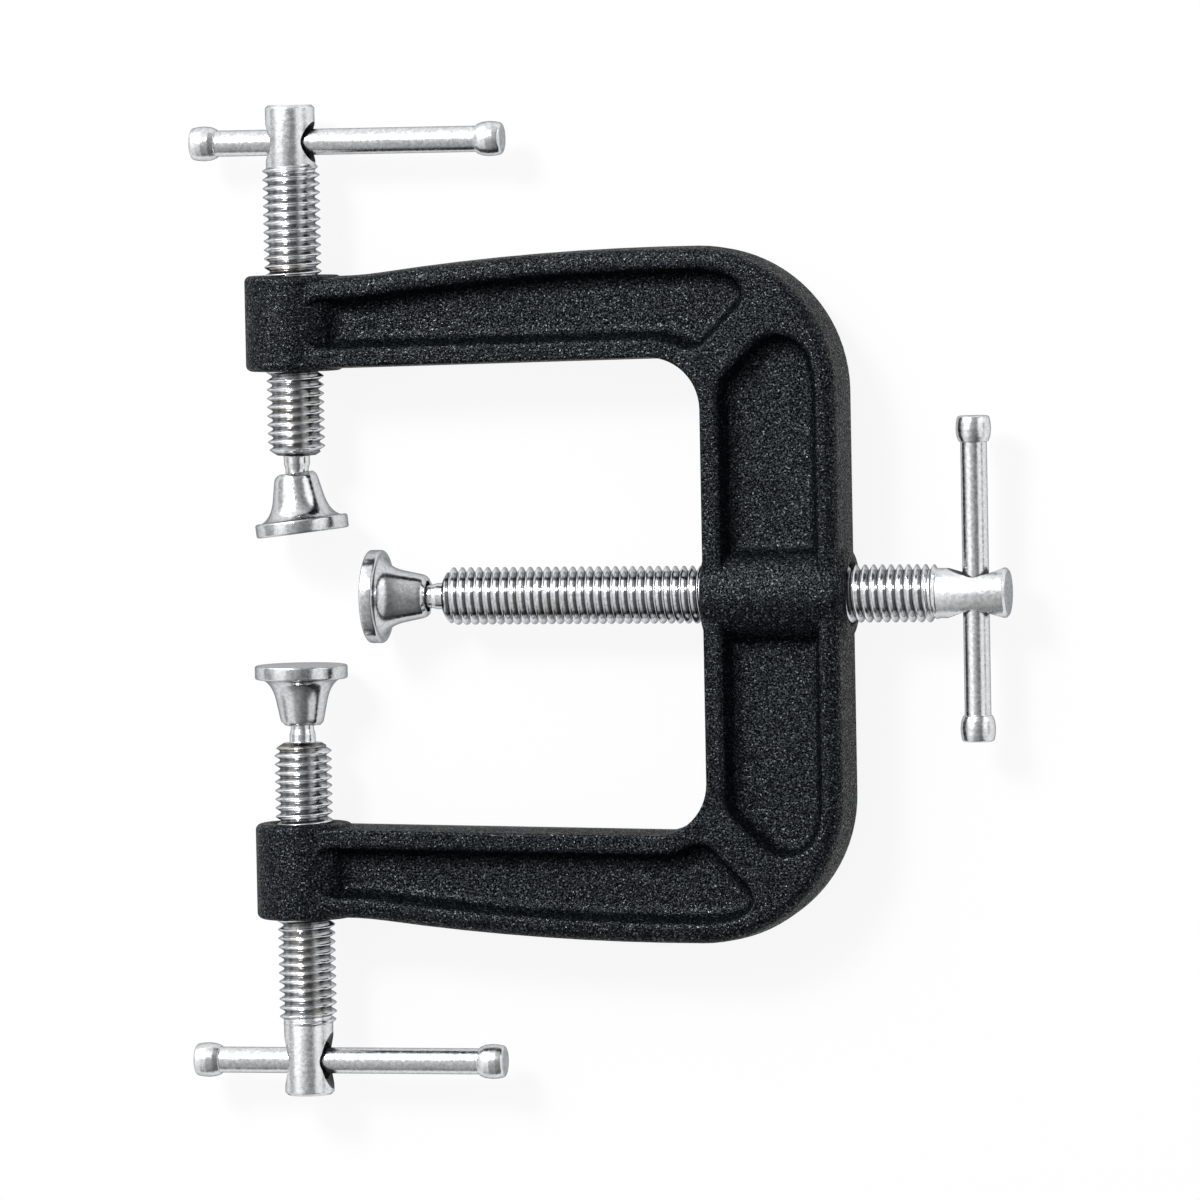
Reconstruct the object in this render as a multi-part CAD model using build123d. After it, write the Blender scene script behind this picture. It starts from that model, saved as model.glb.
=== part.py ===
# Edge clamp: a cast C-frame with two jaw screws that face each other and a third
# screw through the spine. Each screw has a sliding tommy bar and a swivel pad.
#
# The pieces are modelled about the crossing of the three screw axes, with X towards
# the spine, Y along the jaw screws and Z through the thickness of the frame.
# At the end everything is moved so that the clamp lies on the ground.

from build123d import *
from dataclasses import dataclass
import math
import os

# Frame outline, in the plane of the C. It is the same above and below the edge screw.
throat_height = 78.2        # between the arms at the jaw screws
throat_depth = 72.5         # from the jaw screws to the spine
throat_slope = 1.0          # degrees that each arm's inner face opens towards the spine
throat_corner = 8.5         # radius of the corner between arm and spine
arm_root = 16.0             # height of an arm at its boss
arm_rise = 4.2              # how much further out the arm's back is at the corner
arm_flat = 12.0             # from the jaw screw to where the arm's back starts to rise
arm_blend = 60.0            # radius where the flat runs into the bowed back
spine_width = 24.1          # the spine's outer face lies this far behind its inner one
outer_corner = 25.0         # radius of the big outside corner

# Frame section: two rims on a web, the same on both faces
rim_depth = 15.0
web_thickness = 5.6
inner_rim = 3.5             # width of the flat rim round the throat
outer_rim = 3.7             # width of the rounded rim along the back
rib_width = 6.2             # diagonal rib in each corner
rib_shift = 2.2             # how far the rib lies on the spine's side of the corner
casting_draft = 3.0         # degrees, from the parting line outwards
pocket_draft = 14.0
arm_pocket_corner = 3.5
spine_pocket_corner = 6.0
pocket_floor_round = 2.0
pocket_edge_round = 1.0
back_edge_round = 2.2
throat_edge_round = 0.5

# Bosses, which stand a little proud of the rims
boss_radius = 8.4
boss_edge_round = 1.1
spine_boss_edge_round = 2.2 # at the edge screw's hub, where the boss leaves the spine
boss_blend = 2.0            # radius of the fillet between a boss and the web
boss_face_proud = 0.2       # machined faces, beyond the cast arms and spine
spine_boss_proud = 0.7      # outer face of the spine's boss, beyond the spine
bore_chamfer = 0.6
thread_clearance = 0.05     # radial, between the screw and its bore

# Screws
thread_diameter = 9.85
thread_chamfer = 0.7        # at the hub
lead_length = 1.25          # of the cone that leads into the thread, at the neck
lead_diameter = 6.6
hub_diameter = 8.5
neck_diameter = 4.5
neck_end_diameter = 4.0     # where the neck enters the pad
neck_length = 6.2           # from the ball's centre to the first thread
neck_taper_start = 3.8      # from the ball's centre
neck_taper_end = 4.8
ball_diameter = 6.0

# Upper screw at rest. Its pad face is measured from the crossing of the screw axes.
upper_pad_face = 11.0
upper_pad_tilt = 6.5        # degrees that the pad leans on its ball
upper_thread_length = 50.1
upper_hub_length = 10.0
upper_hub_chamfer = 0.5
upper_bar_from_end = 6.4    # from the hub's end to the bar's axis
upper_bar_offset = 10.0     # of the bar's middle from the screw's axis

# Lower screw at rest
lower_pad_face = 11.7
lower_pad_tilt = 0.0
lower_thread_length = 48.7
lower_hub_length = 12.1
lower_hub_chamfer = 0.5
lower_bar_from_end = 5.9
lower_bar_offset = 7.4

# Edge screw at rest
edge_pad_face = 12.6
edge_pad_tilt = 0.0
edge_thread_length = 86.4
edge_hub_length = 11.8
edge_hub_chamfer = 0.4
edge_bar_from_end = 5.6
edge_bar_offset = 2.4

# Tommy bars, which hang loose in the hubs
bar_diameter = 4.5
bar_length = 46.3           # between the knobs
bar_clearance = 0.3         # radial, in the hub's hole
bar_hole_mouth = 6.6        # diameter of the countersink at the hub's surface
knob_length = 4.4
knob_foot_diameter = 4.9    # where the knob rises from the bar
knob_diameter = 6.0         # at its widest
knob_widest = 2.1           # from the knob's foot
knob_end_diameter = 5.3
knob_edge_round = 0.5

# Swivel pads
pad_diameter = 16.0
pad_height = 10.45
flange_thickness = 2.4
flange_edge_round = 0.6
flare_diameter = 13.8       # foot of the bell, on the flange
waist_diameter = 8.84       # where the bell becomes a steep cone
waist_height = 6.2
shoulder_diameter = 7.6     # where the cone is crimped in over the ball
shoulder_height = 9.25
lip_diameter = 5.8
mouth_diameter = 5.2
ball_height = 7.2           # of the ball's centre above the pad's face
socket_clearance = 0.15

overrun = 1.0               # of a cutting shape past the face that it leaves
tolerance = 0.001           # for finding an edge by its place

# Sizes that follow from the ones above
half_depth = rim_depth / 2
half_throat = throat_height / 2
arm_back_y = half_throat + arm_root
spine_inner_x = throat_depth
spine_outer_x = throat_depth + spine_width
arm_peak_y = arm_back_y + arm_rise
corner_x = spine_outer_x - outer_corner
throat_corner_y = half_throat + throat_depth * math.tan(math.radians(throat_slope))
pocket_depth = (rim_depth - web_thickness) / 2
jaw_boss_faces = (half_throat - boss_face_proud, arm_back_y + boss_face_proud)
spine_boss_faces = (spine_inner_x - boss_face_proud, spine_outer_x + spine_boss_proud)
thread_radius = thread_diameter / 2
bore_radius = thread_radius + thread_clearance
hub_radius = hub_diameter / 2
neck_radius = neck_diameter / 2
neck_end_radius = neck_end_diameter / 2
ball_radius = ball_diameter / 2
bar_radius = bar_diameter / 2
bar_hole_radius = bar_radius + bar_clearance
socket_radius = ball_radius + socket_clearance
mouth_radius = mouth_diameter / 2


@dataclass
class Screw:
    name: str
    axis: Vector            # from the pad to the hub
    bar_axis: Vector
    boss_faces: tuple       # of the frame's boss, from the crossing of the screw axes
    boss_outer_round: float
    pad_face: float
    pad_tilt: float
    thread_length: float
    hub_length: float
    hub_chamfer: float
    bar_from_end: float
    bar_offset: float

    @property
    def boss_seat(self):
        return Plane(origin=(0, 0, 0), z_dir=self.axis, x_dir=self.bar_axis)

    @property
    def ball_seat(self):
        ball = self.axis * (self.pad_face + ball_height)
        return Plane(origin=ball, z_dir=self.axis, x_dir=self.bar_axis)


screws = [
    Screw("upper", Vector(0, 1, 0), Vector(1, 0, 0), jaw_boss_faces, boss_edge_round,
          upper_pad_face, upper_pad_tilt, upper_thread_length, upper_hub_length,
          upper_hub_chamfer, upper_bar_from_end, upper_bar_offset),
    Screw("lower", Vector(0, -1, 0), Vector(1, 0, 0), jaw_boss_faces, boss_edge_round,
          lower_pad_face, lower_pad_tilt, lower_thread_length, lower_hub_length,
          lower_hub_chamfer, lower_bar_from_end, lower_bar_offset),
    Screw("edge", Vector(1, 0, 0), Vector(0, 1, 0), spine_boss_faces, spine_boss_edge_round,
          edge_pad_face, edge_pad_tilt, edge_thread_length, edge_hub_length,
          edge_hub_chamfer, edge_bar_from_end, edge_bar_offset),
]


def both_sides(shape):
    return shape + mirror(shape, about=Plane.XZ)


def back_outline():
    # Everything inside the back of the C, throat included
    start = (0, 0)
    flat = Line((0, arm_back_y), (arm_flat, arm_back_y))
    bow = TangentArc((corner_x, arm_peak_y), flat @ 1, tangent=(-1, 0))
    corner = RadiusArc(bow @ 0, (spine_outer_x, arm_peak_y - outer_corner), outer_corner)
    sides = Polyline(corner @ 1, (spine_outer_x, 0), start, flat @ 0)
    half = make_face(flat + bow + corner + sides)
    bend = half.vertices().sort_by_distance(Vector(arm_flat, arm_back_y))[0]
    return both_sides(fillet(bend, arm_blend))


def throat_outline():
    # The open space between the arms, run past the bosses on the open side
    reach = boss_radius + overrun
    mouth_y = half_throat - reach * math.tan(math.radians(throat_slope))
    half = make_face(Polyline((-reach, 0), (spine_inner_x, 0), (spine_inner_x, throat_corner_y),
                              (-reach, mouth_y), close=True))
    corner = half.vertices().sort_by_distance(Vector(spine_inner_x, throat_corner_y))[0]
    return both_sides(fillet(corner, throat_corner))


def rib_band():
    # A strip along the diagonal rib of the upper corner, longer than the corner both ways
    diagonal = Rectangle(2 * (spine_width + outer_corner), rib_width)
    shift = rib_shift / math.sqrt(2)
    return Pos(spine_inner_x + shift, throat_corner_y - shift) * Rot(0, 0, 45) * diagonal


def pocket_outlines():
    # Two arm pockets and the spine's, at the level of the rims
    zone = offset(back_outline(), -outer_rim) - offset(throat_outline(), inner_rim)
    zone -= both_sides(rib_band())
    outlines = []
    for outline in zone.faces():
        in_spine = outline.center().X > corner_x
        corner = spine_pocket_corner if in_spine else arm_pocket_corner
        # Shrinking and growing again rounds the corners
        outlines += offset(offset(outline, -corner), corner).faces()
    return outlines


def pocket_tool(outline):
    # Drafted walls down to a rounded floor, and straight above the rim
    at_rim = Pos(0, 0, half_depth) * outline
    tool = extrude(at_rim, amount=-pocket_depth, taper=pocket_draft)
    floor_edges = tool.faces().sort_by(Axis.Z)[0].edges()
    tool = fillet(floor_edges, pocket_floor_round)
    return tool + extrude(at_rim, amount=overrun)


def drafted(outline, draft):
    # From the parting line up to the rims, narrower there by the draft
    lower_half = extrude(outline, amount=-half_depth, taper=draft)
    return mirror(lower_half, about=Plane.XY)


def rim_edges(casting, zone):
    # Edges of the rims' level whose middle lies in or on a zone of the plane
    found = []
    for edge in casting.edges():
        middle = edge @ 0.5
        on_rim = abs(middle.Z - half_depth) < tolerance
        if on_rim and zone.distance_to(Vector(middle.X, middle.Y)) < tolerance:
            found.append(edge)
    return found


def make_half_casting():
    # One half of the casting, from the parting line to the rims
    casting = drafted(back_outline(), casting_draft) - drafted(throat_outline(), -casting_draft)
    throat_zone = offset(throat_outline(), inner_rim / 2)
    # The arms' open ends stay sharp, because the bosses cover them
    arm_ends = Rectangle(boss_radius / 2, 2 * arm_peak_y)
    back_zone = back_outline() - throat_zone - arm_ends
    casting = fillet(rim_edges(casting, back_zone), back_edge_round)
    casting = fillet(rim_edges(casting, throat_zone), throat_edge_round)
    pockets = pocket_outlines()
    for pocket in pockets:
        casting -= pocket_tool(pocket)
    mouths = []
    for pocket in pockets:
        mouths += rim_edges(casting, pocket)
    return fillet(mouths, pocket_edge_round)


def boss_between(faces, outer_round):
    # A round boss along Z, from one machined face to the other
    boss = Pos(0, 0, sum(faces) / 2) * Cylinder(boss_radius, faces[1] - faces[0])
    boss = fillet(boss.edges().filter_by(GeomType.CIRCLE).sort_by(Axis.Z)[0], boss_edge_round)
    return fillet(boss.edges().filter_by(GeomType.CIRCLE).sort_by(Axis.Z)[-1], outer_round)


def blend_between(faces):
    # Fillets that run from the boss's side down to the web, on both faces of the frame
    floor = web_thickness / 2
    centre_y = floor + boss_blend
    centre_x = math.sqrt((boss_radius + boss_blend) ** 2 - centre_y ** 2)
    on_boss = boss_radius / (boss_radius + boss_blend)
    curve = TangentArc((centre_x, floor), (centre_x * on_boss, centre_y * on_boss), tangent=(-1, 0))
    core = Polyline(curve @ 1, (0, centre_y * on_boss), (0, 0), (centre_x, 0), curve @ 0)
    section = make_face(curve + core)
    section += mirror(section, about=Plane.XZ)
    # The ends lie inside the rims
    length = faces[1] - faces[0] - 2 * boss_blend
    return extrude(Pos(0, 0, faces[0] + boss_blend) * section, amount=length)


def bore_between(faces):
    # The screw's hole, run out of both faces, with a chamfer at each
    bore = Pos(0, 0, sum(faces) / 2) * Cylinder(bore_radius, faces[1] - faces[0] + 2 * overrun)
    chamfer = Cone(bore_radius, bore_radius + bore_chamfer, bore_chamfer)
    bore += Pos(0, 0, faces[1] - bore_chamfer / 2) * chamfer
    bore += Pos(0, 0, faces[0] + bore_chamfer / 2) * Rot(180, 0, 0) * chamfer
    return bore


def make_frame():
    half = make_half_casting()
    frame = half + mirror(half, about=Plane.XY)
    for screw in screws:
        blend = screw.boss_seat * blend_between(screw.boss_faces)
        # An arm's boss meets the web on one side only, the spine's on both
        frame += both_sides(blend) if screw.axis.Y == 0 else blend
        frame += screw.boss_seat * boss_between(screw.boss_faces, screw.boss_outer_round)
    for screw in screws:
        frame -= screw.boss_seat * bore_between(screw.boss_faces)
    return frame


def make_spindle(screw):
    # Turned about Z from the ball's centre upwards, then cross-drilled for the bar
    thread_end = neck_length + screw.thread_length
    hub_end = thread_end + screw.hub_length
    ball_top = math.sqrt(ball_radius ** 2 - neck_end_radius ** 2)
    ball = ThreePointArc((0, -ball_radius), (ball_radius, 0), (neck_end_radius, ball_top))
    turned = Polyline(
        ball @ 1,
        (neck_end_radius, neck_taper_start),
        (neck_radius, neck_taper_end),
        (neck_radius, neck_length),
        (lead_diameter / 2, neck_length),
        (thread_radius, neck_length + lead_length),
        (thread_radius, thread_end - thread_chamfer),
        (hub_radius, thread_end),
        (hub_radius, hub_end - screw.hub_chamfer),
        (hub_radius - screw.hub_chamfer, hub_end),
        (0, hub_end),
        ball @ 0,
    )
    spindle = revolve(Plane.XZ * make_face(ball + turned), axis=Axis.Z)
    mouth_radius_difference = bar_hole_mouth / 2 - bar_hole_radius
    mouth = Cone(bar_hole_radius, bar_hole_mouth / 2, mouth_radius_difference)
    hole = Cylinder(bar_hole_radius, hub_diameter + 2 * overrun)
    hole += Pos(0, 0, hub_radius - mouth_radius_difference / 2) * mouth
    hole += Rot(180, 0, 0) * Pos(0, 0, hub_radius - mouth_radius_difference / 2) * mouth
    return spindle - Pos(0, 0, hub_end - screw.bar_from_end) * Rot(0, 90, 0) * hole


def make_tommy_bar(screw):
    # One rod with an upset knob at each end, lying along X through the hub's hole
    foot = bar_length / 2
    rod = Polyline((0, 0), (bar_radius, 0), (bar_radius, foot), (knob_foot_diameter / 2, foot))
    barrel = ThreePointArc(rod @ 1, (knob_diameter / 2, foot + knob_widest),
                           (knob_end_diameter / 2, foot + knob_length))
    section = make_face(rod + barrel + Polyline(barrel @ 1, (0, foot + knob_length), (0, 0)))
    end_corner = section.vertices().sort_by_distance(barrel @ 1)[0]
    half = revolve(Plane.XZ * fillet(end_corner, knob_edge_round), axis=Axis.Z)
    bar = half + mirror(half, about=Plane.XY)
    bar_height = neck_length + screw.thread_length + screw.hub_length - screw.bar_from_end
    return Pos(screw.bar_offset, 0, bar_height) * Rot(0, 90, 0) * bar


def make_swivel_pad(screw):
    # Turned about Z with the ball's centre at the origin, crimped in over the ball
    face = -ball_height
    flange_top = face + flange_thickness
    waist = Vector(waist_diameter / 2, face + waist_height)
    shoulder = Vector(shoulder_diameter / 2, face + shoulder_height)
    lip = Vector(lip_diameter / 2, face + pad_height)
    socket_top = math.sqrt(socket_radius ** 2 - mouth_radius ** 2)
    base = Polyline((0, face), (pad_diameter / 2, face), (pad_diameter / 2, flange_top),
                    (flare_diameter / 2, flange_top))
    bell = TangentArc(waist, base @ 1, tangent=waist - shoulder)
    cone = Line(waist, shoulder)
    crimp = TangentArc(shoulder, lip, tangent=shoulder - waist)
    mouth = Polyline(lip, (mouth_radius, lip.Y), (mouth_radius, socket_top))
    socket = ThreePointArc(mouth @ 1, (socket_radius, 0), (0, -socket_radius))
    section = make_face(base + bell + cone + crimp + mouth + socket + Line(socket @ 1, base @ 0))
    rim = section.vertices().filter_by_position(Axis.X, pad_diameter / 2 - tolerance,
                                                pad_diameter / 2 + tolerance)
    section = fillet(rim, flange_edge_round)
    return Rot(0, -screw.pad_tilt, 0) * revolve(Plane.XZ * section, axis=Axis.Z)


def clamp_pieces():
    pieces = {"frame": make_frame()}
    for screw in screws:
        seat = screw.ball_seat
        pieces[screw.name + "_spindle"] = seat * make_spindle(screw)
        pieces[screw.name + "_tommy_bar"] = seat * make_tommy_bar(screw)
        pieces[screw.name + "_swivel_pad"] = seat * make_swivel_pad(screw)
    return pieces


pieces = clamp_pieces()

# The clamp lies on its three bosses, with the origin on the ground under the middle
box = Compound(list(pieces.values())).bounding_box()
middle = box.center()
ground = Pos(-middle.X, -middle.Y, -box.min.Z)
os.makedirs("parts", exist_ok=True)
for name, piece in pieces.items():
    export_step((ground * piece).solid(), "parts/" + name + ".step")
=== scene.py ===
import bmesh
import bpy
import math
import numpy as np
from mathutils import Matrix, Vector

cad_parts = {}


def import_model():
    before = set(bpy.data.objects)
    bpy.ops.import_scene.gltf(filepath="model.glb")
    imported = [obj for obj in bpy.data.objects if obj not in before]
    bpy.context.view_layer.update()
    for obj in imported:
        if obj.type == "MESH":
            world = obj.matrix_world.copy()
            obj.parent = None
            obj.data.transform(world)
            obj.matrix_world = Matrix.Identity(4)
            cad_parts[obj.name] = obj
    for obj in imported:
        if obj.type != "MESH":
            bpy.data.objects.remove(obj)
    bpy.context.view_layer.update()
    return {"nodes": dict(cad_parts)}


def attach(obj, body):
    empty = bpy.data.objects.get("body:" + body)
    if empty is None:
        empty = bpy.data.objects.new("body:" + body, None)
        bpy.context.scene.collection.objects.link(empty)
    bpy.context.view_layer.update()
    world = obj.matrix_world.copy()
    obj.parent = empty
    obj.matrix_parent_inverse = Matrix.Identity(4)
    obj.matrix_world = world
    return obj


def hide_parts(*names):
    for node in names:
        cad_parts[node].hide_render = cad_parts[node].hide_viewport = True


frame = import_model()
scene = bpy.context.scene
scene.view_settings.view_transform = "Standard"

MM = 0.001
smallest = 1e-6             # a shorter radius counts as being on the axis

# Sizes in mm, as in the CAD model, with the threads added
thread_radius = 4.925
thread_pitch = 1.5
thread_depth = 0.92
hub_radius = 4.25
hub_root_step = 0.3         # the hub is this much slimmer where it is hidden in the thread
hub_root_length = 2.0
neck_radius = 2.25
neck_end_radius = 2.0
neck_length = 6.2
neck_taper_start = 3.8
neck_taper_end = 4.8
neck_round = 0.8
ball_radius = 3.0
lead_length = 1.25
lead_radius = 3.3
lead_curve = 1.35           # 1 is a straight cone, more is rounder
runout_length = 1.1
bar_radius = 2.25
bar_length = 46.3
knob_length = 4.4
ball_height = 7.2           # of the ball's centre over the pad's face
pad_height = 10.45
pad_radius = 8.0
flange_thickness = 2.4
flange_round = 0.55
flare_radius = 6.9
waist_radius = 4.42
waist_height = 6.2
flare_reach = 3.1           # how far the steep cone is drawn on, to shape the flare
shoulder_radius = 3.8
shoulder_height = 9.25
lip_radius = 3.05
lip_inner_radius = 2.62

# The bars' holes, whose mouths are worn to a wide flare
bar_hole_radius = 2.55
bar_hole_end = 1.6          # from the screw's axis, where the hole starts to widen
bar_hole_mouth = 3.25
bar_hole_mouth_start = 2.3
bar_hole_mouth_end = 3.1
bar_hole_flare = 4.9
bar_hole_reach = 6.0        # of the cutting tool
flare_to_thread = 0.1       # the flare ends this far short of the thread

SCREWS = {
    "upper": dict(axis=(0, 1, 0), bar=(1, 0, 0), ball=(0, 18.2), thread=50.1, hub=10.0, chamfer=0.5,
                  bar_from_end=6.4, bar_offset=10.0, tilt=6.5, lip_phase=0.3),
    "lower": dict(axis=(0, -1, 0), bar=(1, 0, 0), ball=(0, -18.9), thread=48.7, hub=12.1, chamfer=0.5,
                  bar_from_end=5.9, bar_offset=7.4, tilt=0.0, lip_phase=2.1),
    "edge": dict(axis=(1, 0, 0), bar=(0, 1, 0), ball=(19.8, 0), thread=86.4, hub=11.8, chamfer=0.4,
                 bar_from_end=5.6, bar_offset=2.4, tilt=0.0, lip_phase=4.4),
}
# Where the screws' axes cross
CROSSING = Vector((-52.025, 0.7, 8.4))


def seat(screw):
    """The matrix from a screw's own frame (ball centre at 0, Z to the hub, X along the bar) to metres."""
    z = Vector(screw["axis"])
    x = Vector(screw["bar"])
    y = z.cross(x)
    turn = Matrix((x, y, z)).transposed().to_4x4()
    at = Vector((screw["ball"][0], screw["ball"][1], 0)) + CROSSING
    return Matrix.Scale(MM, 4) @ Matrix.Translation(at) @ turn


# Meshes
def new_object(name, verts, faces, uvs, attributes=None, sharp=30):
    mesh = bpy.data.meshes.new(name)
    mesh.from_pydata([tuple(v) for v in verts], [], faces)
    layer = mesh.uv_layers.new(name="UVMap")
    loops = np.empty(len(mesh.loops), dtype=np.int32)
    mesh.loops.foreach_get("vertex_index", loops)
    layer.data.foreach_set("uv", np.asarray(uvs, dtype=np.float32)[loops].ravel())
    for key, values in (attributes or {}).items():
        attribute = mesh.attributes.new(key, "FLOAT", "POINT")
        attribute.data.foreach_set("value", np.asarray(values, dtype=np.float32))
    mesh.validate()
    obj = bpy.data.objects.new(name, mesh)
    scene.collection.objects.link(obj)
    mesh.shade_smooth()
    mesh.set_sharp_from_angle(angle=math.radians(sharp))
    return obj


def corner_arc(before, corner, after, radius, steps):
    """The points of an arc that rounds a corner, as large as its two sides allow."""
    u = before - corner
    v = after - corner
    shorter = min(u.length, v.length)
    u.normalize()
    v.normalize()
    half = math.acos(max(-1, min(1, u.dot(v)))) / 2
    if half > math.radians(88):
        return [tuple(corner)]
    reach = min(radius / math.tan(half), shorter * 0.49)
    radius = reach * math.tan(half)
    centre = corner + (u + v).normalized() * (radius / math.sin(half))
    start = corner + u * reach - centre
    end = corner + v * reach - centre
    first = math.atan2(start.y, start.x)
    last = math.atan2(end.y, end.x)
    while last - first > math.pi:
        last -= 2 * math.pi
    while last - first < -math.pi:
        last += 2 * math.pi
    angles = [first + (last - first) * k / steps for k in range(steps + 1)]
    return [(centre.x + radius * math.cos(t), centre.y + radius * math.sin(t)) for t in angles]


def rounded(points, steps=6):
    """A profile of (radius, height) points. A third number is the radius of that point's corner."""
    out = []
    for i, point in enumerate(points):
        if len(point) < 3 or i in (0, len(points) - 1):
            out.append((point[0], point[1]))
            continue
        sides = [Vector(p[:2]) for p in points[i - 1:i + 2]]
        out += corner_arc(*sides, point[2], steps)
    return out


def lathe(name, profile, matrix, segments=96, sharp=30, wobble=None):
    """Turns a profile of (radius, height) about Z. It starts and ends on the axis or stays an open skin."""
    profile = [(max(r, 0.0), z) for r, z in profile]
    length = [0.0]
    for (r0, z0), (r1, z1) in zip(profile, profile[1:]):
        length.append(length[-1] + math.hypot(r1 - r0, z1 - z0))
    verts, uvs, faces, rings = [], [], [], []
    for (r, z), along in zip(profile, length):
        if r < smallest:
            rings.append([len(verts)])
            verts.append(matrix @ Vector((0, 0, z)))
            uvs.append((0.5, along))
            continue
        ring = []
        for i in range(segments):
            t = 2 * math.pi * i / segments
            rr, zz = (r, z) if wobble is None else wobble(r, z, t)
            ring.append(len(verts))
            verts.append(matrix @ Vector((rr * math.cos(t), rr * math.sin(t), zz)))
            uvs.append((i / segments, along))
        rings.append(ring)
    for a, b in zip(rings, rings[1:]):
        for i in range(segments):
            j = (i + 1) % segments
            if len(a) == 1 and len(b) == 1:
                continue
            if len(a) == 1:
                faces.append((a[0], b[j], b[i]))
            elif len(b) == 1:
                faces.append((a[i], a[j], b[0]))
            else:
                faces.append((a[i], a[j], b[j], b[i]))
    return new_object(name, verts, faces, uvs, sharp=sharp)


def thread(name, length, matrix, segments=84):
    """A right-hand thread from height 0 to its length, with a rounded lead and a run-out into the hub."""
    root = thread_radius - thread_depth
    # Across half a pitch: the share of the pitch, and how deep the groove is there
    flank = [(0.02, 0.0), (0.062, 0.03), (0.17, 0.30), (0.30, 0.645), (0.405, 0.93), (0.45, 0.985),
             (0.5, 1.0)]
    phases = flank + [(1 - share, depth) for share, depth in reversed(flank[:-1])]
    steps = len(phases)
    turns = int(math.ceil(length / thread_pitch)) + 2
    rows = [((k - 1) + share, depth) for k in range(turns) for share, depth in phases]
    verts, uvs, groove = [], [], []
    index = np.zeros((len(rows), segments), dtype=int)
    for j, (turn, depth) in enumerate(rows):
        for i in range(segments):
            t = i / segments
            z = min(max(thread_pitch * (turn + t), 0.0), length)
            r = thread_radius - depth * thread_depth
            fade = min((length - z) / runout_length, 1.0)
            fade = fade * fade * (3 - 2 * fade)
            r = hub_radius + (r - hub_radius) * fade
            if z < lead_length:
                share = 1 - z / lead_length
                r = min(r, thread_radius - (thread_radius - lead_radius) * share ** lead_curve)
            index[j, i] = len(verts)
            a = 2 * math.pi * t
            verts.append(matrix @ Vector((r * math.cos(a), r * math.sin(a), z)))
            uvs.append((t, z))
            # How deep the point lies in the groove; the material paints shade and a stain there from this
            groove.append(min(max((thread_radius - r) / (thread_radius - root), 0), 1) * fade)
    faces = []
    for j in range(len(rows) - 1):
        for i in range(segments):
            if i < segments - 1:
                quad = (index[j, i], index[j, i + 1], index[j + 1, i + 1], index[j + 1, i])
            elif j + 1 + steps < len(rows):
                quad = (index[j, i], index[j + steps, 0], index[j + 1 + steps, 0], index[j + 1, i])
            else:
                continue
            faces.append(tuple(int(v) for v in quad))
    obj = new_object(name, verts, faces, uvs, {"groove": groove}, sharp=42)
    merge_close(obj, 1e-7)
    return obj


def merge_close(obj, distance):
    """Merges the rows that the thread's ends squeeze together."""
    bm = bmesh.new()
    bm.from_mesh(obj.data)
    bmesh.ops.remove_doubles(bm, verts=bm.verts, dist=distance)
    bmesh.ops.dissolve_degenerate(bm, edges=bm.edges, dist=distance)
    loose = [v for v in bm.verts if not v.link_faces]
    bmesh.ops.delete(bm, geom=loose, context="VERTS")
    bm.to_mesh(obj.data)
    bm.free()


def cut(target, tool):
    """Takes one mesh out of another. The cut faces get the target's second material."""
    for face in tool.data.polygons:
        face.material_index = 1
    modifier = target.modifiers.new("cut", "BOOLEAN")
    modifier.operation = "DIFFERENCE"
    modifier.solver = "EXACT"
    modifier.object = tool
    depsgraph = bpy.context.evaluated_depsgraph_get()
    mesh = bpy.data.meshes.new_from_object(target.evaluated_get(depsgraph))
    target.modifiers.clear()
    target.data = mesh
    bpy.data.objects.remove(tool)
    mesh.shade_smooth()
    mesh.set_sharp_from_angle(angle=math.radians(35))


# Shader nodes
class Nodes:
    def __init__(self, name):
        self.material = bpy.data.materials.new(name)
        self.material.use_nodes = True
        self.tree = self.material.node_tree
        self.tree.nodes.clear()
        self.out = self.add("ShaderNodeOutputMaterial")
        self.shader = self.add("ShaderNodeBsdfPrincipled")
        self.link(self.shader.outputs[0], self.out.inputs["Surface"])

    def add(self, kind, **values):
        node = self.tree.nodes.new(kind)
        for key, value in values.items():
            setattr(node, key, value)
        return node

    def link(self, a, b):
        self.tree.links.new(a, b)

    def feed(self, socket, value):
        """Sets a socket to a number or a colour, or links it to another socket."""
        if isinstance(value, (int, float)):
            socket.default_value = value
        elif isinstance(value, tuple):
            socket.default_value = (*value, 1.0)
        else:
            self.link(value, socket)

    def noise(self, vector, scale, detail, roughness=0.5):
        node = self.add("ShaderNodeTexNoise")
        node.inputs["Scale"].default_value = scale
        node.inputs["Detail"].default_value = detail
        node.inputs["Roughness"].default_value = roughness
        self.link(vector, node.inputs["Vector"])
        return node.outputs["Fac"]

    def spread(self, value, low, high, to_low=0.0, to_high=1.0):
        node = self.add("ShaderNodeMapRange", clamp=True)
        for key, number in (("From Min", low), ("From Max", high), ("To Min", to_low), ("To Max", to_high)):
            node.inputs[key].default_value = number
        self.link(value, node.inputs["Value"])
        return node.outputs["Result"]

    def mix(self, factor, a, b):
        node = self.add("ShaderNodeMix", data_type="RGBA")
        self.feed(node.inputs[0], factor)
        self.feed(node.inputs[6], a)
        self.feed(node.inputs[7], b)
        return node.outputs[2]

    def math(self, operation, a, b):
        node = self.add("ShaderNodeMath", operation=operation)
        self.feed(node.inputs[0], a)
        self.feed(node.inputs[1], b)
        return node.outputs[0]

    def bump(self, height, strength, distance, normal=None):
        node = self.add("ShaderNodeBump")
        node.inputs["Strength"].default_value = strength
        node.inputs["Distance"].default_value = distance
        self.link(height, node.inputs["Height"])
        if normal is not None:
            self.link(normal, node.inputs["Normal"])
        return node.outputs["Normal"]


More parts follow.
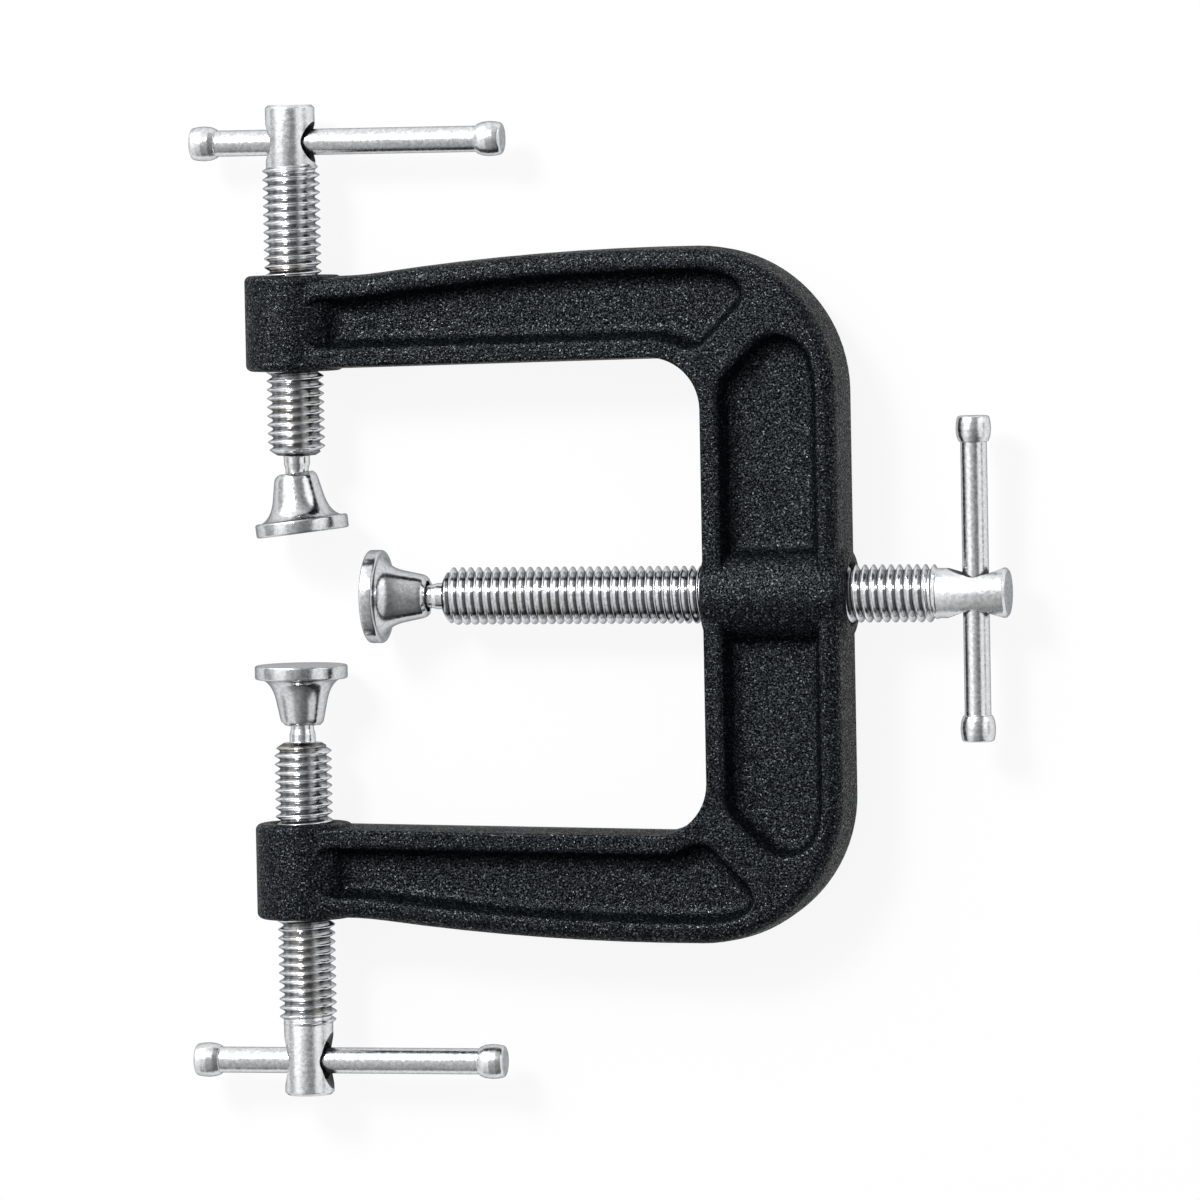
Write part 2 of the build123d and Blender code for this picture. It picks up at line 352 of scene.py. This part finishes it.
# Materials. A noise's scale is in cells per metre, save for the turning marks, which are measured in
# millimetres along the profile. A bump's distance is in metres.
def black_casting():
    """Black coated iron with a coarse, glittering sand-cast grain."""
    n = Nodes("black_casting")
    where = n.add("ShaderNodeTexCoord").outputs["Object"]
    broad = n.noise(where, scale=60, detail=3)
    wave = n.noise(where, scale=260, detail=2)
    peel = n.noise(where, scale=900, detail=2)
    grain = n.noise(where, scale=3100, detail=2, roughness=0.6)
    fine = n.noise(where, scale=5600, detail=1)
    grit = n.math("ADD", n.math("MULTIPLY", grain, 0.7), n.math("MULTIPLY", fine, 0.3))
    colour = n.mix(n.spread(grit, 0.48, 0.66), (0.0009, 0.0014, 0.0020), (0.0056, 0.0084, 0.0110))
    fleck = n.spread(n.noise(where, scale=2700, detail=1), 0.62, 0.69)
    colour = n.mix(fleck, colour, (0.045, 0.052, 0.058))
    n.link(colour, n.shader.inputs["Base Color"])
    rough = n.math("ADD", n.spread(broad, 0.3, 0.7, 0.31, 0.37), n.spread(grit, 0.38, 0.62, 0.12, -0.06))
    rough = n.math("SUBTRACT", rough, n.math("MULTIPLY", fleck, 0.14))
    n.link(rough, n.shader.inputs["Roughness"])
    # The grain's own shadows take the gloss away at a flat angle
    facing = n.add("ShaderNodeLayerWeight")
    facing.inputs["Blend"].default_value = 0.5
    gloss = n.math("ADD", n.spread(grit, 0.45, 0.62, 0.02, 0.40), n.math("MULTIPLY", fleck, 0.9))
    gloss = n.math("MULTIPLY", gloss, n.spread(facing.outputs["Facing"], 0.25, 0.85, 1.0, 0.05))
    n.link(gloss, n.shader.inputs["Specular IOR Level"])
    n.shader.inputs["Specular Tint"].default_value = (0.86, 0.95, 1.0, 1.0)
    normal = n.bump(wave, 0.4, 0.0006)
    normal = n.bump(peel, 0.5, 0.0003, normal)
    normal = n.bump(grit, 1.0, 0.00022, normal)
    n.link(normal, n.shader.inputs["Normal"])
    return n.material


def steel(name, colour, rough, lines, line_depth, groove=False):
    """Bright plated steel. lines is how many turning marks a millimetre shows along the profile."""
    n = Nodes(name)
    where = n.add("ShaderNodeTexCoord")
    uv = n.add("ShaderNodeSeparateXYZ")
    n.link(where.outputs["UV"], uv.inputs[0])
    along = n.add("ShaderNodeCombineXYZ")
    n.link(uv.outputs["Y"], along.inputs["X"])
    marks = n.noise(along.outputs[0], scale=lines, detail=4, roughness=0.65)
    patch = n.noise(where.outputs["Object"], scale=260, detail=3)
    mottle = n.noise(where.outputs["Object"], scale=1500, detail=3, roughness=0.7)
    fine = n.noise(where.outputs["Object"], scale=4200, detail=2)
    dull = tuple(c * 0.72 for c in colour)
    base = n.mix(n.spread(mottle, 0.36, 0.62), dull, colour)
    base = n.mix(n.spread(marks, 0.35, 0.65, 0.0, 0.35), base, dull)
    # With groove, the thread's grooves get painted shade and a brown oily stain
    if groove:
        deep = n.add("ShaderNodeAttribute", attribute_name="groove").outputs["Fac"]
        stain = n.noise(where.outputs["Object"], scale=130, detail=3, roughness=0.6)
        # Painted shade: the bottom of each groove is darkened almost to black
        base = n.mix(n.spread(deep, 0.74, 1.0, 0.0, 0.70), base, (0.03, 0.032, 0.036))
        # A brown oily stain in patches along the grooves
        amount = n.math("MULTIPLY", n.spread(deep, 0.25, 0.8), n.spread(stain, 0.50, 0.68, 0.0, 0.5))
        base = n.mix(amount, base, (0.24, 0.19, 0.13))
    n.link(base, n.shader.inputs["Base Color"])
    n.shader.inputs["Metallic"].default_value = 1.0
    # Painted shade: the plate's reflection is darkened where it is seen at a flat angle, so the steel's
    # edges read dark
    n.shader.inputs["Specular Tint"].default_value = (0.30, 0.31, 0.33, 1.0)
    roughness = n.math("ADD", n.spread(patch, 0.3, 0.7, rough * 0.85, rough * 1.15),
                       n.spread(mottle, 0.3, 0.7, -0.05, 0.07))
    n.link(roughness, n.shader.inputs["Roughness"])
    normal = n.bump(marks, 0.35, line_depth)
    normal = n.bump(mottle, 0.45, 0.00005, normal)
    normal = n.bump(fine, 0.3, 0.00002, normal)
    n.link(normal, n.shader.inputs["Normal"])
    return n.material


def dark_bore():
    """Near-black steel inside the bars' holes and their flared mouths: painted shade."""
    n = Nodes("dark_bore")
    where = n.add("ShaderNodeTexCoord").outputs["Object"]
    patch = n.noise(where, scale=900, detail=3)
    colour = n.mix(n.spread(patch, 0.35, 0.65), (0.012, 0.012, 0.013), (0.035, 0.036, 0.038))
    n.link(colour, n.shader.inputs["Base Color"])
    n.shader.inputs["Metallic"].default_value = 0.6
    n.link(n.spread(patch, 0.3, 0.7, 0.45, 0.65), n.shader.inputs["Roughness"])
    n.link(n.bump(patch, 0.4, 0.00006), n.shader.inputs["Normal"])
    return n.material


MATERIALS = {
    "casting": black_casting(),
    "thread": steel("thread_steel", (0.90, 0.915, 0.93), rough=0.15, lines=2.0, line_depth=0.00001,
                    groove=True),
    "hub": steel("hub_steel", (0.91, 0.92, 0.93), rough=0.26, lines=3.0, line_depth=0.00002),
    "neck": steel("neck_steel", (0.86, 0.87, 0.88), rough=0.13, lines=3.0, line_depth=0.00001),
    "bar": steel("bar_steel", (0.87, 0.88, 0.895), rough=0.22, lines=1.2, line_depth=0.00001),
    "pad": steel("pad_steel", (0.76, 0.77, 0.785), rough=0.16, lines=6.0, line_depth=0.00002),
    # Painted shade for the inside of the bars' holes
    "bore": dark_bore(),
}


def dress(obj, material, body, node):
    if not obj.data.materials:
        obj.data.materials.append(MATERIALS[material])
    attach(obj, body)
    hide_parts(node)


# The casting keeps its CAD mesh
casting = frame["nodes"]["frame"]
casting.data.materials.clear()
casting.data.materials.append(MATERIALS["casting"])


# Screws, bars and pads
def across(distance, height):
    """Lays a turned shape along a screw's bar, at a height on the screw and moved along the bar."""
    return Matrix.Translation((distance, 0, height)) @ Matrix.Rotation(math.pi / 2, 4, "Y")


def make_neck(name, matrix):
    ball_top = math.sqrt(ball_radius ** 2 - neck_end_radius ** 2)
    steps = 18
    start = -math.pi / 2
    end = math.atan2(ball_top, neck_end_radius)
    angles = [start + (end - start) * k / steps for k in range(steps + 1)]
    ball = [(ball_radius * math.cos(t), ball_radius * math.sin(t)) for t in angles]
    rest = rounded([(neck_end_radius, ball_top), (neck_end_radius, neck_taper_start, neck_round),
                    (neck_radius, neck_taper_end, neck_round), (neck_radius, neck_length - 0.05, 0.3),
                    (lead_radius, neck_length)])
    return lathe(name + "_screw_neck", ball + rest[1:], matrix, 64)


def make_hub(name, screw, matrix):
    start = neck_length + screw["thread"]
    end = start + screw["hub"]
    chamfer = screw["chamfer"]
    profile = rounded([(0, start - hub_root_length), (hub_radius - hub_root_step, start - hub_root_length),
                       (hub_radius, start - hub_root_length / 2), (hub_radius, end - chamfer, 0.25),
                       (hub_radius - chamfer, end, 0.2), (0, end)])
    hub = lathe(name + "_screw_hub", profile, matrix, 128)
    flare = min(bar_hole_flare, screw["hub"] - screw["bar_from_end"] - flare_to_thread)
    side = [(bar_hole_radius, 0), (bar_hole_radius, bar_hole_end), (bar_hole_mouth, bar_hole_mouth_start),
            (bar_hole_mouth, bar_hole_mouth_end), (flare, hub_radius), (flare, bar_hole_reach),
            (0, bar_hole_reach)]
    tool_profile = [(r, -x) for r, x in reversed(side)] + side[1:]
    tool = lathe("tool", tool_profile, matrix @ across(0, end - screw["bar_from_end"]), 96)
    # The hole's cut faces take the second material, a near-black one that paints the shade inside the hole
    for obj in (hub, tool):
        obj.data.materials.append(MATERIALS["hub"])
        obj.data.materials.append(MATERIALS["bore"])
    cut(hub, tool)
    return hub


def make_bar(name, screw, matrix):
    half = bar_length / 2
    end = half + knob_length
    # From the bar up a small step to the knob, over its widest place and down to its end face
    knob = rounded([(bar_radius, half - 0.3, 0.15), (bar_radius, half, 0.15), (2.5, half, 0.15),
                    (2.86, half + 0.9, 1.2), (3.0, half + 2.1, 1.4), (2.93, half + 3.2, 1.0),
                    (2.7, end, 0.55), (1.2, end, 0.5), (0, end - 0.06)], steps=5)
    rings = 12
    side = [(bar_radius, half * k / rings) for k in range(rings)] + knob
    profile = [(r, -z) for r, z in reversed(side)] + side[1:]
    height = neck_length + screw["thread"] + screw["hub"] - screw["bar_from_end"]
    return lathe(name + "_bar", profile, matrix @ across(screw["bar_offset"], height), 72)


def make_pad(name, screw, matrix):
    face = -ball_height
    shoulder = face + shoulder_height
    top = face + pad_height
    # From the flange up to the waist, a curve that ends along the steep cone
    foot = Vector((flare_radius, face + flange_thickness))
    waist = Vector((waist_radius, face + waist_height))
    cone = Vector((waist_radius - shoulder_radius, waist_height - shoulder_height)).normalized()
    corner = waist + cone * flare_reach
    steps = 14
    bell = []
    for k in range(steps + 1):
        t = k / steps
        q = (1 - t) ** 2 * foot + 2 * (1 - t) * t * corner + t * t * waist
        bell.append((q.x, q.y))
    flange = rounded([(0, face + 0.04), (5.2, face + 0.04), (7.2, face, 0.5),
                      (pad_radius, face, flange_round),
                      (pad_radius, face + flange_thickness, flange_round),
                      (7.15, face + flange_thickness, 0.1), bell[0]])
    # Over the lip and down the inside of the socket
    crimp = rounded([bell[-1], (shoulder_radius, shoulder, 0.6), (3.62, face + 9.85, 0.7),
                     (lip_radius, top, 0.5), (lip_inner_radius, top, 0.15), (lip_inner_radius, top - 0.5),
                     (2.7, 1.6), (3.0, 0.9), (3.1, 0.0), (2.2, -2.2), (0, -3.12)])

    def wobble(r, z, t):
        # The lip was rolled in over the ball and isn't quite even
        rise = z - face - 9.0
        if rise < 0 or r > 4.2:
            return r, z
        phase = screw["lip_phase"]
        w = 0.05 * math.sin(3 * t + phase) + 0.035 * math.sin(7 * t + 2 * phase)
        w += 0.02 * math.sin(13 * t + 3 * phase)
        share = min(rise / 1.2, 1.0)
        return r + 0.5 * w * share, z + w * share - 0.1 * share

    tilt = Matrix.Rotation(-math.radians(screw["tilt"]), 4, "Y")
    return lathe(name + "_pad", flange + bell[1:] + crimp[1:], matrix @ tilt, 128, sharp=38, wobble=wobble)


for name, screw in SCREWS.items():
    matrix = seat(screw)
    spindle = name + "_spindle"
    body = name + "_screw"
    thread_seat = matrix @ Matrix.Translation((0, 0, neck_length))
    helix = thread(name + "_screw_thread", screw["thread"], thread_seat)
    dress(helix, "thread", body, spindle)
    dress(make_neck(name, matrix), "neck", body, spindle)
    dress(make_hub(name, screw, matrix), "hub", body, spindle)
    dress(make_bar(name, screw, matrix), "bar", name + "_bar", name + "_tommy_bar")
    dress(make_pad(name, screw, matrix), "pad", name + "_pad", name + "_swivel_pad")


# Floor, light and camera, in metres
floor_half = 4.0
floor_grey = 0.72
floor_glow = 0.9            # the share of the floor's look that is plain white and takes no shadow


def floor():
    s = floor_half
    mesh = bpy.data.meshes.new("floor")
    mesh.from_pydata([(-s, -s, 0), (s, -s, 0), (s, s, 0), (-s, s, 0)], [], [(0, 1, 2, 3)])
    obj = bpy.data.objects.new("floor", mesh)
    scene.collection.objects.link(obj)
    n = Nodes("floor")
    n.shader.inputs["Base Color"].default_value = (floor_grey, floor_grey, floor_grey, 1)
    n.shader.inputs["Roughness"].default_value = 0.7
    n.shader.inputs["Specular IOR Level"].default_value = 0.1
    glow = n.add("ShaderNodeEmission")
    glow.inputs["Color"].default_value = (1, 1, 1, 1)
    glow.inputs["Strength"].default_value = 1.0
    path = n.add("ShaderNodeLightPath")
    seen = n.math("MAXIMUM", path.outputs["Is Camera Ray"], path.outputs["Is Glossy Ray"])
    seen = n.math("MAXIMUM", seen, path.outputs["Is Transmission Ray"])
    mixer = n.add("ShaderNodeMixShader")
    n.link(n.math("MULTIPLY", seen, floor_glow), mixer.inputs[0])
    n.link(n.shader.outputs[0], mixer.inputs[1])
    n.link(glow.outputs[0], mixer.inputs[2])
    n.link(mixer.outputs[0], n.out.inputs["Surface"])
    mesh.materials.append(n.material)


# The studio's brightness across X and up Y, as (direction, level): two bright soft boxes, on the
# left and on the right, with a dark gap round the camera, and less light from below
across_levels = [(-1.0, 0.42), (-0.88, 0.50), (-0.81, 1.10), (-0.44, 1.05), (-0.35, 0.56), (-0.05, 0.42),
                 (0.20, 0.26), (0.50, 0.15), (0.64, 0.26), (0.70, 0.90), (0.95, 0.95), (1.0, 0.15)]
upward_levels = [(-1.0, 0.24), (-0.80, 0.50), (-0.40, 0.62), (-0.05, 0.76), (0.12, 0.85), (0.4, 1.0),
                 (0.8, 1.5), (1.0, 1.4)]
studio_strength = 1.5


def ramp(tree, value, levels):
    """A brightness that follows one of the direction's numbers, from -1 to 1."""
    shift = tree.nodes.new("ShaderNodeMath")
    shift.operation = "MULTIPLY_ADD"
    shift.inputs[1].default_value = 0.5
    shift.inputs[2].default_value = 0.5
    node = tree.nodes.new("ShaderNodeValToRGB")
    tree.links.new(value, shift.inputs[0])
    tree.links.new(shift.outputs[0], node.inputs[0])
    node.color_ramp.interpolation = "LINEAR"
    elements = node.color_ramp.elements
    elements[0].position = levels[0][0] * 0.5 + 0.5
    elements[1].position = levels[-1][0] * 0.5 + 0.5
    for place, level in levels[1:-1]:
        elements.new(place * 0.5 + 0.5)
    for element, (place, level) in zip(elements, levels):
        element.position = place * 0.5 + 0.5
        element.color = (level, level, level, 1)
    return node.outputs["Color"]


def world():
    studio = bpy.data.worlds.new("studio")
    scene.world = studio
    studio.use_nodes = True
    tree = studio.node_tree
    tree.nodes.clear()
    out = tree.nodes.new("ShaderNodeOutputWorld")
    back = tree.nodes.new("ShaderNodeBackground")
    white = tree.nodes.new("ShaderNodeBackground")
    white.inputs["Color"].default_value = (1, 1, 1, 1)
    mixer = tree.nodes.new("ShaderNodeMixShader")
    path = tree.nodes.new("ShaderNodeLightPath")
    coord = tree.nodes.new("ShaderNodeTexCoord")
    split = tree.nodes.new("ShaderNodeSeparateXYZ")
    tree.links.new(coord.outputs["Generated"], split.inputs[0])
    both = tree.nodes.new("ShaderNodeVectorMath")
    both.operation = "MULTIPLY"
    tree.links.new(ramp(tree, split.outputs["X"], across_levels), both.inputs[0])
    tree.links.new(ramp(tree, split.outputs["Y"], upward_levels), both.inputs[1])
    tree.links.new(both.outputs[0], back.inputs["Color"])
    back.inputs["Strength"].default_value = studio_strength
    tree.links.new(path.outputs["Is Camera Ray"], mixer.inputs[0])
    tree.links.new(back.outputs[0], mixer.inputs[1])
    tree.links.new(white.outputs[0], mixer.inputs[2])
    tree.links.new(mixer.outputs[0], out.inputs["Surface"])


def key_light(place, size, power, target):
    light = bpy.data.lights.new("key", "AREA")
    light.shape = "RECTANGLE"
    light.size = size
    light.size_y = size
    light.energy = power
    obj = bpy.data.objects.new("key", light)
    obj.location = place
    aim = Vector(target) - Vector(place)
    obj.rotation_euler = aim.to_track_quat("-Z", "Y").to_euler()
    scene.collection.objects.link(obj)


# The camera looks down on the clamp, a little from its right, as fitted to the photograph
camera_yaw = math.radians(14.0)
camera_elevation = math.radians(3.0)
camera_roll = math.radians(1.09)
camera_target = Vector((0.001175, -0.00013, 0.0084))
camera_distance = 1.5
camera_lens = 263.9
camera_sensor = 36


def camera():
    flat = math.cos(camera_elevation)
    back = Vector((math.sin(camera_yaw) * flat, math.sin(camera_elevation), math.cos(camera_yaw) * flat))
    level = Vector((math.cos(camera_yaw), 0, -math.sin(camera_yaw)))
    upright = back.cross(level)
    right = math.cos(camera_roll) * level - math.sin(camera_roll) * upright
    up = math.sin(camera_roll) * level + math.cos(camera_roll) * upright
    data = bpy.data.cameras.new("camera")
    data.sensor_width = camera_sensor
    data.lens = camera_lens
    data.clip_start = 0.05
    data.clip_end = 50
    obj = bpy.data.objects.new("camera", data)
    turn = Matrix((right, up, back)).transposed().to_4x4()
    obj.matrix_world = Matrix.Translation(camera_target + camera_distance * back) @ turn
    scene.collection.objects.link(obj)
    scene.camera = obj


floor()
world()
key_light(place=(-0.38, 0.55, 0.82), size=0.26, power=11.0, target=(0, 0, 0.01))
camera()
